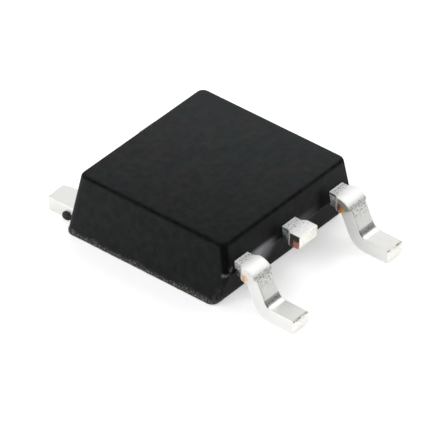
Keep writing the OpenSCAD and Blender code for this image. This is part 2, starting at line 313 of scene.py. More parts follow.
def patchy(u, v, size, seed):
    """Numbers from -1 to 1 that change smoothly over a distance of size: a
    lattice of random numbers, mixed between its four nearest points with
    the weight t * t * (3 - 2 * t)."""
    lattice = np.random.default_rng(seed).uniform(-1, 1, (LATTICE, LATTICE))
    u, v = np.asarray(u) / size, np.asarray(v) / size
    i, j = np.floor(u).astype(int), np.floor(v).astype(int)
    s, t = u - i, v - j
    s, t = s * s * (3 - 2 * s), t * t * (3 - 2 * t)

    def at(a, b):
        return lattice[a % LATTICE, b % LATTICE]

    return ((at(i, j) * (1 - s) + at(i + 1, j) * s) * (1 - t)
            + (at(i, j + 1) * (1 - s) + at(i + 1, j + 1) * s) * t)


def ramp(value, start, end):
    """0 before start, 1 after end, and a smooth step between."""
    t = np.clip((value - start) / (end - start), 0, 1)
    return t * t * (3 - 2 * t)


# %% Rings to a closed mesh
SHARP_FROM = np.radians(38)


def skin(name, rings, marks=None):
    """Joins rings, an array of ring by place by xyz in millimetres. Quad
    (i, j) uses places j and j + 1 of rings i and i + 1, and the ends are one
    flat face each. marks are named numbers for the vertices, for materials."""
    count, around = rings.shape[:2]
    i, j = np.meshgrid(np.arange(count - 1), np.arange(around), indexing="ij")
    k = (j + 1) % around
    quads = np.stack((i * around + j, i * around + k,
                      (i + 1) * around + k, (i + 1) * around + j), -1).reshape(-1, 4)
    first = np.arange(around)[::-1]
    last = (count - 1) * around + np.arange(around)
    mesh = bpy.data.meshes.new(name)
    mesh.from_pydata((rings.reshape(-1, 3) * MM).tolist(), [],
                     quads.tolist() + [first.tolist(), last.tolist()])
    for key, values in (marks or {}).items():
        mark = mesh.attributes.new(key, "FLOAT", "POINT")
        mark.data.foreach_set("value", np.broadcast_to(values, (count, around))
                              .astype(np.float32).ravel())
    mesh.shade_smooth()
    mesh.set_sharp_from_angle(angle=SHARP_FROM)
    piece = bpy.data.objects.new(name, mesh)
    bpy.context.scene.collection.objects.link(piece)
    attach(piece, "root")
    print(name, "has", len(mesh.polygons), "faces")
    return piece


def joined(name, pieces):
    """Makes one mesh of several, which keep their marks."""
    with bpy.context.temp_override(active_object=pieces[0],
                                   selected_editable_objects=pieces):
        bpy.ops.object.join()
    pieces[0].name = pieces[0].data.name = name
    return pieces[0]


# %% [markdown]
# ## The moulded body
# The block is epoxy resin, pressed round the strip in a two-part mould. Its
# walls lean in so that it leaves the mould, and on the lead side they also
# lean in below the parting line. A box with bevels would do, but its walls
# need room for the ragged lip of resin at the bottom edge and the thin flash
# on the parting line, so the block is a stack of rings from bottom to top.
# The same function marks where the skin differs, and the material reads those
# marks as attributes.

# %% Body section at a height
UNDERSIDE_Z = 0.02


def half_width(z):
    """The sides lean in evenly from bottom to top."""
    return BODY_W / 2 - SIDE_LEAN * z / BODY_H


def back_y(z):
    """The back leans in evenly from bottom to top."""
    return BODY_BACK_Y - BACK_LEAN * z / BODY_H


def front_y(z):
    """The lead side goes out to the parting line and back from there."""
    below = BODY_FRONT_Y - NOSE_OUT * z / PARTING_Z
    above = NOSE_Y + BROW_LEAN * (z - PARTING_Z) / (BODY_H - PARTING_Z)
    return np.where(z < PARTING_Z, below, above)


# %% Levels of the body
LOW_EDGE_R, LIP_TOP_Z, SEAM_ZONE = 0.025, 0.25, 0.10
NEAR_SEAM = np.array((0.0, 0.008, 0.018, 0.03, 0.045, 0.06, 0.08))


def body_levels():
    """Levels run over the underside's edge, up the walls, round the top edge
    and a little way in over the top, and lie close together at the lip and
    at the parting line. The inset is how far a level lies inside the wall:
    it follows a quarter circle at both edges."""
    low_turn, top_turn = np.linspace(np.pi / 2, 0, 5), np.linspace(0, np.pi / 2, 9)
    wall = np.concatenate((np.linspace(UNDERSIDE_Z + LOW_EDGE_R, LIP_TOP_Z, 9)[1:],
                           np.linspace(LIP_TOP_Z, PARTING_Z - SEAM_ZONE, 22)[1:],
                           PARTING_Z - NEAR_SEAM[:0:-1], PARTING_Z + NEAR_SEAM,
                           np.linspace(PARTING_Z + SEAM_ZONE, BODY_H - TOP_EDGE_R, 22)[:-1]))
    z = np.concatenate(([UNDERSIDE_Z], UNDERSIDE_Z + LOW_EDGE_R * (1 - np.sin(low_turn)),
                        wall, BODY_H - TOP_EDGE_R * (1 - np.sin(top_turn)), [BODY_H]))
    inset = np.concatenate(([0.12], LOW_EDGE_R * (1 - np.cos(low_turn)), np.zeros(wall.size),
                            TOP_EDGE_R * (1 - np.cos(top_turn)), [TOP_EDGE_R + 0.05]))
    return z, inset


# %% Resin that bled past the mould
LIP_OUT, LIP_RAGGED = 0.010, 0.022
FLASH_OUT, FLASH_RAGGED, LUMP_OUT = 0.012, 0.014, 0.03


def bottom_lip(x, z, along):
    """How far a lip of resin stands out along the bottom edge, ragged and
    thickest at the left, and where thin resin shows. A film of it also climbs
    the wall a little."""
    ragged = patchy(along, z * 3, 0.16, 3) * 0.6 + patchy(along, z * 3, 0.06, 4) * 0.4
    left = ramp(-x, 2.2, 3.0)
    lip = (1 - ramp(z, 0.10, 0.24)) * ramp(z, UNDERSIDE_Z, UNDERSIDE_Z + 0.02)
    climb = 0.16 + 0.10 * patchy(along, z, 0.30, 9)
    film = (1 - ramp(z - climb, -0.08, 0.10)) * (0.4 + 0.6 * left)
    out = lip * (0.25 + 0.75 * left) * (LIP_OUT + LIP_RAGGED * ragged)
    return out, np.maximum(lip * (0.4 + 0.6 * left), 0.8 * film)


def parting_flash(x, y, z, out_y, lead_side):
    """How far flash stands out of the parting line on the lead side, and
    where it shows. At the left corner it swells to lumps that climb towards
    the left lead."""
    seam = np.exp(-((z - PARTING_Z) / 0.012) ** 2) * lead_side
    climb = PARTING_Z + 0.30 * ramp(x, -3.05, -2.60)
    lumps = np.exp(-((z - climb) / 0.07) ** 2) * ramp(-out_y, 0.05, 0.4) * ramp(-x, 2.55, 2.65)
    lumps = lumps * ramp(patchy(x + y, z, 0.085, 6), -0.10, 0.45)
    out = seam * (FLASH_OUT + FLASH_RAGGED * patchy(x, z, 0.09, 5)) + lumps * LUMP_OUT
    return out, np.maximum(seam * 0.3, lumps * 0.7)


# %% Where the resin's colour differs


def black_edges(z, inset, along, out_x, out_y):
    """The top edge and the corners over the nose, painted near black."""
    edge_share = np.clip(inset / TOP_EDGE_R, 0, 1)[:, None] * (z > 1)
    top_edge = np.exp(-((edge_share - 0.25) / 0.22) ** 2) * (edge_share > 0)
    top_edge = top_edge * (0.85 + 0.25 * patchy(along, z, 0.14, 8))
    top_edge = top_edge * (1 - 0.5 * ramp(out_y, 0, 0.5))
    nose_edge = (ramp(-out_y, 0.12, 0.45) * ramp(np.abs(out_x), 0.12, 0.45)
                 * ramp(z, PARTING_Z, PARTING_Z + 0.1) * (1 - ramp(z, BODY_H - 0.10, BODY_H)))
    return np.maximum(top_edge, nose_edge)


def painted_floor_reflection(x, z, lead_side):
    """A painted reflection of the white floor: paler at the nose, to the right of
    the left and the middle lead, and at the lower left corner."""
    pale_reflection = (0.8 * ramp(x, -2.2, -1.9) * (1 - ramp(x, -1.4, -0.5))
              + 0.3 * ramp(x, 0.2, 0.5) * (1 - ramp(x, 0.4, 1.4)))
    pale_reflection = pale_reflection * ramp(z, 0.3, 1.1) * (1 - ramp(z, PARTING_Z + 0.12, PARTING_Z + 0.30))
    pale_reflection += 0.8 * (1 - ramp(x, -3.25, -3.0)) * (1 - ramp(z, 0.3, 0.8))
    return np.clip(pale_reflection * (0.9 + 0.25 * patchy(x, z, 0.30, 7)), 0, 1) * lead_side


def painted_front_shade(x, z, lead_side):
    """Painted shade on the lead side: the wall below the parting line, and the
    resin above the nose to the left of each lead."""
    under = lead_side * (1 - ramp(z, PARTING_Z - 0.05, PARTING_Z))
    painted_root_shade = sum(np.exp(-((x - place) / 0.22) ** 2) for place in (-2.95, -0.72, 1.57))
    painted_root_shade = painted_root_shade * lead_side * ramp(z, PARTING_Z, PARTING_Z + 0.05)
    painted_root_shade = painted_root_shade * (1 - ramp(z, PARTING_Z + 0.25, PARTING_Z + 0.85))
    return 0.7 * under + painted_root_shade


# %% The body's rings


def body_rings():
    """Each level is a rounded rectangle. The lip and the flash push the walls
    outward, and the near lower corner is scuffed."""
    levels, inset = body_levels()
    loop = rounded_loop(10, 110, 110)
    half, r = half_width(levels) - inset, np.maximum(CORNER_R - inset, 0.04)
    x, y = place_loop(loop, -half, half, front_y(levels) + inset, back_y(levels) - inset, r, r)
    z = np.broadcast_to(levels[:, None], x.shape)
    out_x, out_y = np.broadcast_to(loop[5], x.shape), np.broadcast_to(loop[6], x.shape)
    along = np.where(np.abs(out_x) > 0.7, y, x)
    lead_side = ramp(-out_y, 0.3, 0.8)

    lip_out, bleed = bottom_lip(x, z, along)
    flash_out, flash = parting_flash(x, y, z, out_y, lead_side)
    push = np.where(inset[:, None] > 0, 0, lip_out + flash_out)
    rings = np.stack((x + out_x * push, y + out_y * push, z), -1)
    corner = ramp(-out_x, 0.15, 0.5) * ramp(-out_y, 0.15, 0.5) * (1 - ramp(z, 0.3, 1.1))
    return rings, {"bleed": bleed, "flash": flash, "scuff": corner,
                   "rim": black_edges(z, inset, along, out_x, out_y),
                   "under": painted_front_shade(x, z, lead_side), "painted_reflection": painted_floor_reflection(x, z, lead_side)}


body_parts = [skin("moulded_body_block", *body_rings())]

# %% [markdown]
# ## The gate stub
# Resin enters the mould through a small gate beside the tab. The runner is
# snapped off afterwards and leaves a stub with a waist and a rough end. It is
# a short loft along the tab, whose width and height vary.

# %% The stub's rings
STUB_LEN, STUB_H, STUB_NOTCH, STUB_PROUD, STUB_INSIDE = 0.54, 0.27, 0.10, 0.09, 0.25
STUB_LOW_R, STUB_TOP_R = 0.02, 0.045


def stub_rings():
    """Rings across Y, from the broken end into the body. The side away from
    the tab is full near both ends and narrower at the waist between them,
    by a cosine, and the broken end is rounded off."""
    y = np.linspace(BODY_BACK_Y + STUB_LEN, BODY_BACK_Y - STUB_INSIDE, 30)
    past = y - BODY_BACK_Y
    waist = ramp(past, -0.02, 0.10) * 0.5 * (1 - np.cos((past - 0.02) / 0.30 * 2 * np.pi))
    waist = np.where((past > 0.02) & (past < 0.32), waist, 0)
    rounded = np.sqrt(1 - (1 - np.clip((STUB_LEN - past) / 0.16, 0, 1)) ** 2)
    out = STUB_PROUD * (0.25 + 0.75 * rounded) * (1 - 0.60 * waist)
    top = STUB_H * (0.50 + 0.50 * rounded) * (1 - 0.25 * waist)
    low = 0.015 + 0.05 * waist + 0.05 * (1 - rounded)
    x, z = place_loop(rounded_loop(5, 6, 8), -TAB_W / 2 - out, -TAB_W / 2 + STUB_NOTCH,
                      low, top, STUB_LOW_R, STUB_TOP_R)
    x = x + 0.012 * patchy(y[:, None] + 9, z, 0.07, 8) * (x < -TAB_W / 2)
    rings = np.stack((x, np.broadcast_to(y[:, None], x.shape), z), -1)
    return rings, {"bleed": 0.25, "flash": 0.0, "scuff": 0.0, "rim": 0.0, "under": 0.0,
                   "painted_reflection": 0.0}


body_parts.append(skin("moulded_body_stub", *stub_rings()))
moulded_body = joined("moulded_body_skin", body_parts)

# %% [markdown]
# ## The strip
# All metal is stamped from one copper strip, bent in a press and tinned. A
# lead is that strip carried along a path: level out of the body, down over
# the knee, along the leg and out again at the heel. A punched edge is rolled
# over on the side the punch enters and sharp on the other, so the ring across
# the strip has a larger radius at its upper corners.

# %% A path of straights and bends


def strip_path(start, moves, s):
    """Places, upper-side directions and slopes along a path in Y and Z, at
    the distances s. A move is (length, 0) for a straight and (radius, turn)
    for a bend, where a positive turn bends down. The strip travels along
    (-cos a, -sin a) and its upper side faces (-sin a, cos a)."""
    place, a, done = np.array(start, float), 0.0, 0.0
    y, z, slope = (np.zeros(s.shape) for _ in range(3))
    for size, bend in moves:
        length = abs(bend) * size if bend else size
        last = (size, bend) == moves[-1]
        own = (s >= done - 1e-9) & ((s <= done + length + 1e-9) | last)
        d = s[own] - done
        if bend:
            side = np.sign(bend)
            centre = place - side * size * np.array((-np.sin(a), np.cos(a)))
            angle = a + side * d / size
            y[own] = centre[0] - side * size * np.sin(angle)
            z[own] = centre[1] + side * size * np.cos(angle)
            slope[own] = angle
            a += bend
            place = centre + side * size * np.array((-np.sin(a), np.cos(a)))
        else:
            y[own], z[own] = place[0] - np.cos(a) * d, place[1] - np.sin(a) * d
            slope[own] = a
            place = place + length * np.array((-np.cos(a), -np.sin(a)))
        done += length
    return y, z, slope


def path_length(moves):
    """A straight's length, and a bend's radius times its turn."""
    return sum(abs(bend) * size if bend else size for size, bend in moves)


# %% Where a strip gets its rings
ROLLED_R, SHARP_R, END_R, TIP_LOW_R = 0.045, 0.018, 0.030, 0.13
RING_STEP, RING_STEP_MIN = 0.032, 0.0015


def ring_places(total, width_changes):
    """Distances along a strip: even steps, every change of width, and places
    close together where the far end rounds over and where the strip begins."""
    turn_end, turn_tip, turn_start = (np.linspace(0, np.pi / 2, count) for count in (6, 8, 4))
    s = np.concatenate((np.arange(0, total, RING_STEP), width_changes,
                        total - END_R * (1 - np.sin(turn_end)),
                        total - TIP_LOW_R * (1 - np.sin(turn_tip)),
                        END_R * (1 - np.cos(turn_start))))
    s = np.unique(np.round(s.clip(0, total), 5))
    s = s[np.concatenate(([True], np.diff(s) > RING_STEP_MIN))]
    s[-1] = total
    return s


def strip_sections(s, total, table):
    """Rounded rectangles across the strip, as sideways and upward distances.
    Near both ends they draw in over a quarter circle, and at the far end
    the lower edge does so over a longer one."""
    left, right = (np.interp(s, table[:, 0], table[:, c]) for c in (1, 2))
    near_end = np.maximum(END_R - np.minimum(s, total - s), 0)
    inset = END_R - np.sqrt(END_R ** 2 - near_end ** 2)
    near_tip = np.maximum(TIP_LOW_R - (total - s), 0)
    low_inset = np.maximum(inset, TIP_LOW_R - np.sqrt(TIP_LOW_R ** 2 - near_tip ** 2))
    loop = rounded_loop(5, 22, 12)
    half_t = STRIP_T / 2
    x, n = place_loop(loop, -left + inset, right - inset, -half_t + low_inset, half_t - inset,
                      SHARP_R + 0.5 * (low_inset - inset),
                      np.maximum(ROLLED_R - inset * 0.5, SHARP_R))
    on_side = (np.abs(np.broadcast_to(loop[5], x.shape)) > 0.75).astype(float)
    return x, n, on_side


# %% The strip as rings
TEAR_ROUGH, TEAR_STEP, BLEND = 0.012, 0.010, 0.01


def strip_rings(centre_x, start, moves, widths, stub_zone, burr_height, end_seed):
    """A ring across the strip at each distance along it. widths is a table
    of distance, reach to the left and reach to the right. The marks say how
    far down a sheared face a place is, and what was cut, torn or burred."""
    total = path_length(moves)
    table = np.array(widths, float)
    s = ring_places(total, table[:, 0])
    x, n, on_side = strip_sections(s, total, table)
    y, z, slope = (v[:, None] for v in strip_path(start, moves, s))
    along = np.broadcast_to(s[:, None], x.shape)
    down = np.clip((STRIP_T / 2 - n) / STRIP_T, 0, 1)

    # the lower part of a sheared face broke instead of being cut: it is rough
    in_stub = (ramp(along, stub_zone[0] - BLEND, stub_zone[0] + BLEND)
               * (1 - ramp(along, stub_zone[1] - BLEND, stub_zone[1] + BLEND)))
    sheared = on_side * in_stub
    broke = sheared * ramp(down, 0.42, 0.60)
    x = x + np.sign(x) * broke * TEAR_ROUGH * patchy(along + x, n, 0.05, end_seed)
    x = x - np.sign(x) * sheared * TEAR_STEP * ramp(down, 0.80, 1.0)
    # the last cut leaves a ragged burr along the end's upper edge
    burr = ramp(along, total - 0.050, total - 0.030) * (1 - ramp(down, 0.04, 0.12))
    burr = burr * (burr_height > 0)
    n = n + burr * burr_height * (1 + patchy(x + 7, along, 0.07, end_seed + 20))
    rings = np.stack((centre_x + x, y - np.sin(slope) * n, z + np.cos(slope) * n), -1)
    tip = ramp(along, total - END_R - 0.004, total - END_R + 0.012) * (1 - burr)
    return rings, {"along": along, "down": down, "sheared": sheared, "on_side": on_side,
                   "tip": tip, "burr": burr,
                   "root": np.exp(-((y - front_y(LEAD_TOP_Z) + 0.03) / 0.022) ** 2),
                   "stub": (along - stub_zone[0]) / (stub_zone[1] - stub_zone[0])}


# %% [markdown]
# ## The two bent leads
# Both outer leads start at a bonding post inside the body. Outside it they
# have a short neck, widen to where the tie bar was cut away, and narrow again
# to the leg. The tie bar's faces were cut after plating, so they show copper
# where they tore. Where the punch sheared them they are dark, or pale with tin
# that it dragged along.

# %% Forming of the outer leads
WIDTH_STEP, CUT_STEP, BURR_H = 0.01, 0.015, 0.007
PAST_END, NO_HEEL = 99, -9.0
knee_mid, heel_mid = KNEE_R + STRIP_T / 2, HEEL_R + STRIP_T / 2
lead_bottom_z = LEAD_TOP_Z - STRIP_T
leg_len = ((lead_bottom_z - (knee_mid + heel_mid) * (1 - np.cos(LEG_ANGLE)))
           / np.sin(LEG_ANGLE))
formed_len = (knee_mid + heel_mid) * np.sin(LEG_ANGLE) + leg_len * np.cos(LEG_ANGLE)
post_front_y = NOSE_Y + POST_SETBACK
post_back_y = post_front_y + POST_LEN
level_len = post_back_y - KNEE_Y
foot_len = KNEE_Y - formed_len - FOOT_TIP_Y
LEAD_MOVES = [(level_len, 0), (knee_mid, LEG_ANGLE), (leg_len, 0),
              (heel_mid, -LEG_ANGLE), (foot_len, 0)]
heel_at = level_len + knee_mid * LEG_ANGLE + leg_len
print("leg", round(leg_len, 3), "mm, flat foot", round(foot_len, 3), "mm")

# %% The outer leads


def lead(name, centre_x, post_left, post_right, seed):
    """The table of widths along a lead: post, neck, shoulders, stubs, leg.
    The marks say how far the heel is, and where the tin is frosted: on the
    neck and the stubs, and on the sides."""
    tie_end = level_len + knee_mid * TIE_BEND
    shoulder = level_len - SHOULDER_LEN
    widths = [(0, post_left, post_right), (POST_LEN - WIDTH_STEP, post_left, post_right),
              (POST_LEN, NECK_W / 2, NECK_W / 2), (shoulder, NECK_W / 2, NECK_W / 2),
              (level_len - WIDTH_STEP, TIE_W / 2, TIE_W / 2),
              (tie_end - CUT_STEP, TIE_W / 2, TIE_W / 2),
              (tie_end, FOOT_W / 2, FOOT_W / 2), (PAST_END, FOOT_W / 2, FOOT_W / 2)]
    rings, marks = strip_rings(centre_x, (post_back_y, LEAD_TOP_Z - STRIP_T / 2), LEAD_MOVES,
                               widths, (level_len, tie_end), BURR_H, seed)
    along = marks["along"]
    marks["heel"] = along - heel_at
    marks["neck"] = 1 - ramp(along, shoulder, level_len)
    on_neck = 1 - ramp(along, shoulder - 0.02, level_len - 0.04)
    on_leg = (ramp(along, tie_end - 0.14, tie_end - 0.04)
              * (1 - ramp(along, tie_end, tie_end + 0.50)))
    marks["scuff"] = np.maximum(on_neck, on_leg)
    marks["frost"] = np.maximum(1 - ramp(along, tie_end - 0.12, tie_end - 0.02),
                                0.8 * marks["on_side"] * (1 - marks["tip"]))
    return skin(name, rings, marks)


gate_lead = lead("gate_lead_strip", -LEAD_PITCH, POST_OUTER, GATE_POST_INNER, 11)
source_lead = lead("source_lead_strip", LEAD_PITCH, SOURCE_POST_INNER, POST_OUTER, 12)

# %% [markdown]
# ## The drain: middle lead, riser and heat tab
# The middle lead is cut short because the tab carries its current. Inside
# the body it drops to the paddle, which runs out of the back as the tab. The
# strip is carried along its path as before. The plate can't be such a strip,
# because its outline has ears and a recess, so it is a stack of outlines.

# %% The middle lead and its riser
riser_mid = RISER_R + STRIP_T / 2
riser_len = ((lead_bottom_z - 2 * riser_mid * (1 - np.cos(RISER_ANGLE)))
             / np.sin(RISER_ANGLE))
riser_run = 2 * riser_mid * np.sin(RISER_ANGLE) + riser_len * np.cos(RISER_ANGLE)
inner_lead_y = PADDLE_FRONT_Y - riser_run
foot_of_riser = DIE_FRONT_Y - PADDLE_FRONT_Y
middle_end_y = KNEE_Y - TIE_LEN
RISER_MOVES = [(foot_of_riser, 0), (riser_mid, -RISER_ANGLE), (riser_len, 0),
               (riser_mid, RISER_ANGLE), (inner_lead_y - middle_end_y, 0)]
riser_total = path_length(RISER_MOVES)


def middle_lead():
    """Riser at full width, then neck, shoulders and the stubs of the tie bar."""
    tie_at = riser_total - TIE_LEN
    top = riser_total - (inner_lead_y - middle_end_y)
    narrow = top + 0.10
    widths = [(0, RISER_W / 2, RISER_W / 2), (narrow - WIDTH_STEP, RISER_W / 2, RISER_W / 2),
              (narrow, NECK_W / 2, NECK_W / 2), (tie_at - SHOULDER_LEN, NECK_W / 2, NECK_W / 2),
              (tie_at - WIDTH_STEP, TIE_W / 2, TIE_W / 2), (PAST_END, TIE_W / 2, TIE_W / 2)]
    rings, marks = strip_rings(0.0, (DIE_FRONT_Y, STRIP_T / 2), RISER_MOVES, widths,
                               (tie_at, riser_total), 0.0, 13)
    along = marks["along"]
    # inside the plate it is a hair thinner, so that no two faces coincide
    in_plate = 1 - ramp(along, 0.33, 0.36)
    rings[..., 2] += in_plate * 0.012 * np.sign(STRIP_T / 2 - rings[..., 2])
    marks["heel"] = NO_HEEL
    marks["neck"] = 1 - ramp(along, tie_at - SHOULDER_LEN, tie_at)
    marks["scuff"] = 0.9 - 0.7 * ramp(along, tie_at - SHOULDER_LEN, riser_total - 0.1)
    marks["frost"] = ramp(along, top, top + 0.1) * (1 - marks["tip"])
    return skin("middle_lead", rings, marks)


# %% The outline of the plate


def rounded_outline(corners, radius, side_steps):
    """Points round a polygon whose corners are cut by arcs. Each corner's arc
    is the quadratic curve between the points where it leaves the two sides,
    and the sides are divided evenly."""
    p = np.array(corners, float)
    before, after = np.roll(p, 1, 0) - p, np.roll(p, -1, 0) - p
    before_len, after_len = (np.linalg.norm(v, axis=1)[:, None] for v in (before, after))
    cut = np.minimum(radius, 0.45 * np.minimum(before_len, after_len))
    start, end = p + before / before_len * cut, p + after / after_len * cut
    t = np.linspace(0, 1, 6)[None, :, None]
    arcs = ((1 - t) ** 2 * start[:, None] + 2 * t * (1 - t) * p[:, None]
            + t ** 2 * end[:, None])
    parts = []
    for i, steps in enumerate(side_steps):
        following = start[(i + 1) % len(p)]
        side = end[i] + (following - end[i]) * np.linspace(0, 1, steps + 1)[1:-1, None]
        parts += [arcs[i], side]
    return np.concatenate(parts)


def outward(points):
    """Unit directions away from a ring that runs against the clock."""
    way = np.roll(points, -1, 0) - np.roll(points, 1, 0)
    way /= np.linalg.norm(way, axis=1)[:, None]
    return np.stack((way[:, 1], -way[:, 0]), -1)


# %% The corners of the plate
OUTLINE_R = 0.08
ear_x = TAB_W / 2 - EAR_W
root_y = TAB_END_Y - RECESS_DEPTH
flare_y = BODY_BACK_Y - (TAB_W - PADDLE_W) / 2
lip_y = BODY_BACK_Y - LIP_W
tab_half = [(TAB_W / 2, BODY_BACK_Y), (TAB_W / 2, TAB_END_Y - EAR_SLANT),
            (ear_x, TAB_END_Y), (ear_x - RECESS_DRAFT, root_y)]


def plate_outline(half_w, front, step_y):
    """The whole outline against the clock, starting at the front right. At
    step_y the paddle's half width changes to that of its upper lip."""
    right = [(half_w, front), (half_w, step_y), (PADDLE_W / 2, lip_y), (PADDLE_W / 2, flare_y)]
    right += tab_half
    corners = right + [(-x, y) for x, y in reversed(right)]
    right_steps = [70, 4, 3, 3, 18, 14, 10]
    return rounded_outline(corners, OUTLINE_R, right_steps + [50] + right_steps[::-1] + [70])


# %% The plate's rings


def plate_levels():
    """Heights from the underside to the top, close together at both edges
    and on both sides of the lip's underside, with the inset at each."""
    lip_z = STRIP_T - LIP_T
    turn_low, turn_top = np.linspace(np.pi / 2, 0, 4), np.linspace(0, np.pi / 2, 7)
    upright = np.concatenate((np.linspace(0, lip_z, 7)[1:-1], [lip_z - 0.004, lip_z + 0.004],
                              np.linspace(lip_z, STRIP_T - ROLLED_R, 6)[1:-1]))
    z = np.concatenate(([0], SHARP_R * (1 - np.sin(turn_low)), upright,
                        STRIP_T - ROLLED_R * (1 - np.sin(turn_top)), [STRIP_T]))
    inset = np.concatenate(([SHARP_R + 0.01], SHARP_R * (1 - np.cos(turn_low)),
                            np.zeros(upright.size), ROLLED_R * (1 - np.cos(turn_top)),
                            [ROLLED_R + 0.01]))
    return z, inset


def plate_rings():
    """One outline at each level. The lower part is narrower in the body,
    which leaves a lip for the resin to grip."""
    full = plate_outline(PADDLE_W / 2, PADDLE_FRONT_Y, lip_y - 0.20)
    low = plate_outline(PADDLE_W / 2 - LIP_W, PADDLE_FRONT_Y + LIP_W, lip_y)
    z, inset = plate_levels()
    is_low = (z < STRIP_T - LIP_T)[:, None, None]
    plan = np.where(is_low, low[None], full[None])
    away = np.where(is_low, outward(low)[None], outward(full)[None])
    plan = plan - away * inset[:, None, None]
    rings = np.concatenate((plan, np.broadcast_to(z[:, None, None], plan.shape[:2] + (1,))), -1)
    on_side = ((inset < 0.01) & (z > 0))[:, None].astype(float)
    marks = dict.fromkeys(("sheared", "tip", "burr", "scuff", "frost", "root", "stub", "neck"), 0.0)
    marks.update(along=rings[..., 1], down=(1 - z / STRIP_T)[:, None], on_side=on_side,
                 heel=NO_HEEL)
    return rings, marks


drain = joined("drain_strip", [skin("heat_tab", *plate_rings()), middle_lead()])

# %% [markdown]
# ## Moulding compound
# The resin is epoxy full of ground silica and soot. It comes out of a spark
# eroded mould, so its skin is matte with a fine grain and faint blotches. Its
# colour is painted a little darker towards the left front and paler towards
# the back right, as painted shade. The wall below the parting line and the
# resin left of each lead's root are painted darker as shade, and the wall below
# the nose paler as a painted reflection of the floor. Where it bled past the
# mould's edge it is thin, olive and speckled with dust. A dark base colour with
# a broad, weak gloss gives the grey that a black part has under a big light. A
# texture could be painted, but noise on a scale in millimetres keeps the same
# grain on every wall.

# %% Grain, blotches and dust of the moulding compound
GRAIN_MM, MOTTLE_MM, SPECK_MM, STREAK_MM, HUE_MM = 0.035, 0.28, 0.05, 0.06, 0.50
resin, tree = empty_material("moulded_epoxy")
here = node(tree, "TexCoord").outputs["Object"]
grain = noise(tree, here, GRAIN_MM, 2.0, 0.6)
mottle = noise(tree, here, MOTTLE_MM, 3.0, 0.55)
speck = noise(tree, here, SPECK_MM, 3.0, 0.7)
marks = marks_on(tree, ("bleed", "flash", "scuff", "rim", "under", "painted_reflection"))
dust = times(tree, step(tree, speck, 0.52, 0.62), marks["bleed"])
dust = larger(tree, dust, step(tree, speck, 0.68, 0.76, high=0.35))
crumbs = times(tree, step(tree, speck, 0.40, 0.56), marks["flash"])
dust = larger(tree, dust, crumbs)

# %% Colour of the moulding compound
# Painted shade: the base colour runs darker towards the left front and paler towards the back
# right.
SHADE_WAY, SHADE_FROM_MM, SHADE_TO_MM = (0.9, 0.55, 0.0), -3.6, 4.4
shade_and_mottle = node(tree, "VectorMath", {0: here, 1: SHADE_WAY}, operation="DOT_PRODUCT").outputs["Value"]
shade_and_mottle = step(tree, shade_and_mottle, SHADE_FROM_MM * MM, SHADE_TO_MM * MM, -0.45, 0.60)
shade_and_mottle = times_plus(tree, mottle, 1.1, shade_and_mottle)
hue = step(tree, noise(tree, here, HUE_MM, 2.0), 0.40, 0.60)
base = mixed(tree, shade_and_mottle, tint("#020405"), mixed(tree, hue, tint("#252b2b"), tint("#2c2b2d")))
# Painted shade: darker on the wall below the parting line and beside each lead's root.
base = mixed(tree, marks["under"], base, tint("#08080a"))
base = mixed(tree, times(tree, marks["bleed"], mottle), base, tint("#4a4a3c"))
# Painted reflection: the floor's light painted pale on the wall below the nose.
base = mixed(tree, marks["painted_reflection"], base, tint("#a8a8ac"))
base = mixed(tree, marks["rim"], base, tint("#010101"))
streak = node(tree, "Mapping", {"Vector": here, "Scale": (1.0, 1.0, 0.18)})
streak = step(tree, noise(tree, streak, STREAK_MM, 2.0), 0.42, 0.62)
base = mixed(tree, times(tree, streak, marks["scuff"]), base, tint("#3a3b3b"))
base = mixed(tree, dust, base, tint("#8a898c"))

# %% Gloss and grain of the moulding compound
rough = step(tree, mottle, 0.0, 1.0, 0.56, 0.68)
rough = times_plus(tree, marks["rim"], 0.35, rough)
rough = times_plus(tree, marks["under"], 0.22, rough)
height = times_plus(tree, speck, 0.4, grain)
height = times_plus(tree, mottle, 2.0, height)
bump = node(tree, "Bump", {"Height": height, "Distance": 0.004 * MM, "Strength": 0.8})
shader = node(tree, "BsdfPrincipled", {"Base Color": base, "Roughness": rough,
                                       "Specular IOR Level": 0.14, "Normal": bump})
node(tree, "OutputMaterial", {"Surface": shader})

# %% [markdown]
# ## Tinned copper
# Matte tin is plated from a bath: a pale grey metal of tiny crystals that
# spreads reflections wide, with slightly darker patches where it was handled.
# Near the body it is frosted white, more like a powder than a metal. Four
# things break it. The tie bar's cut faces show copper, the bending tool's
# burnished line crosses each leg above its heel and is painted dark as a
# reflection, resin smears stain the sides of the necks with a painted shadow
# line along their upper edge, and dark scuffs dot the necks and the tops of
# the legs. The three pieces differ in these, so one function makes a material
# for each.

# %% Layers of the tin
CRYSTAL_MM, PATCH_MM, TEAR_MM, SPOT_MM = 0.030, 0.22, 0.06, 0.055
TIN_MARKS = ("down", "sheared", "on_side", "tip", "burr", "heel", "neck", "scuff", "frost",
             "root", "stub")


def plated(tree, marks, patch, crystal, spots):
    """The tin itself, with handled patches and scuffed spots."""
    colour = mixed(tree, patch, tint("#d9d9d5"), tint("#eeeeeb"))
    colour = mixed(tree, step(tree, crystal, 0.30, 0.55), tint("#dadad6"), colour)
    colour = mixed(tree, marks["frost"], colour, tint("#fafaf8"))
    return mixed(tree, times(tree, spots, 0.65), colour, tint("#6b6b68"))


def burnish_reflection_and_burr(tree, marks, colour, band, tear):
    """The smooth band above the heel, painted dark as a reflection, and the burr along the end."""
    # Painted reflection: the smooth band above the heel is painted dark.
    colour = mixed(tree, times(tree, band, 0.85), colour, tint("#5d5c59"))
    ragged = times(tree, marks["burr"], step(tree, tear, 0.44, 0.56))
    return mixed(tree, ragged, colour, tint("#8b8577"))


# %% Smears and cut faces on the tin


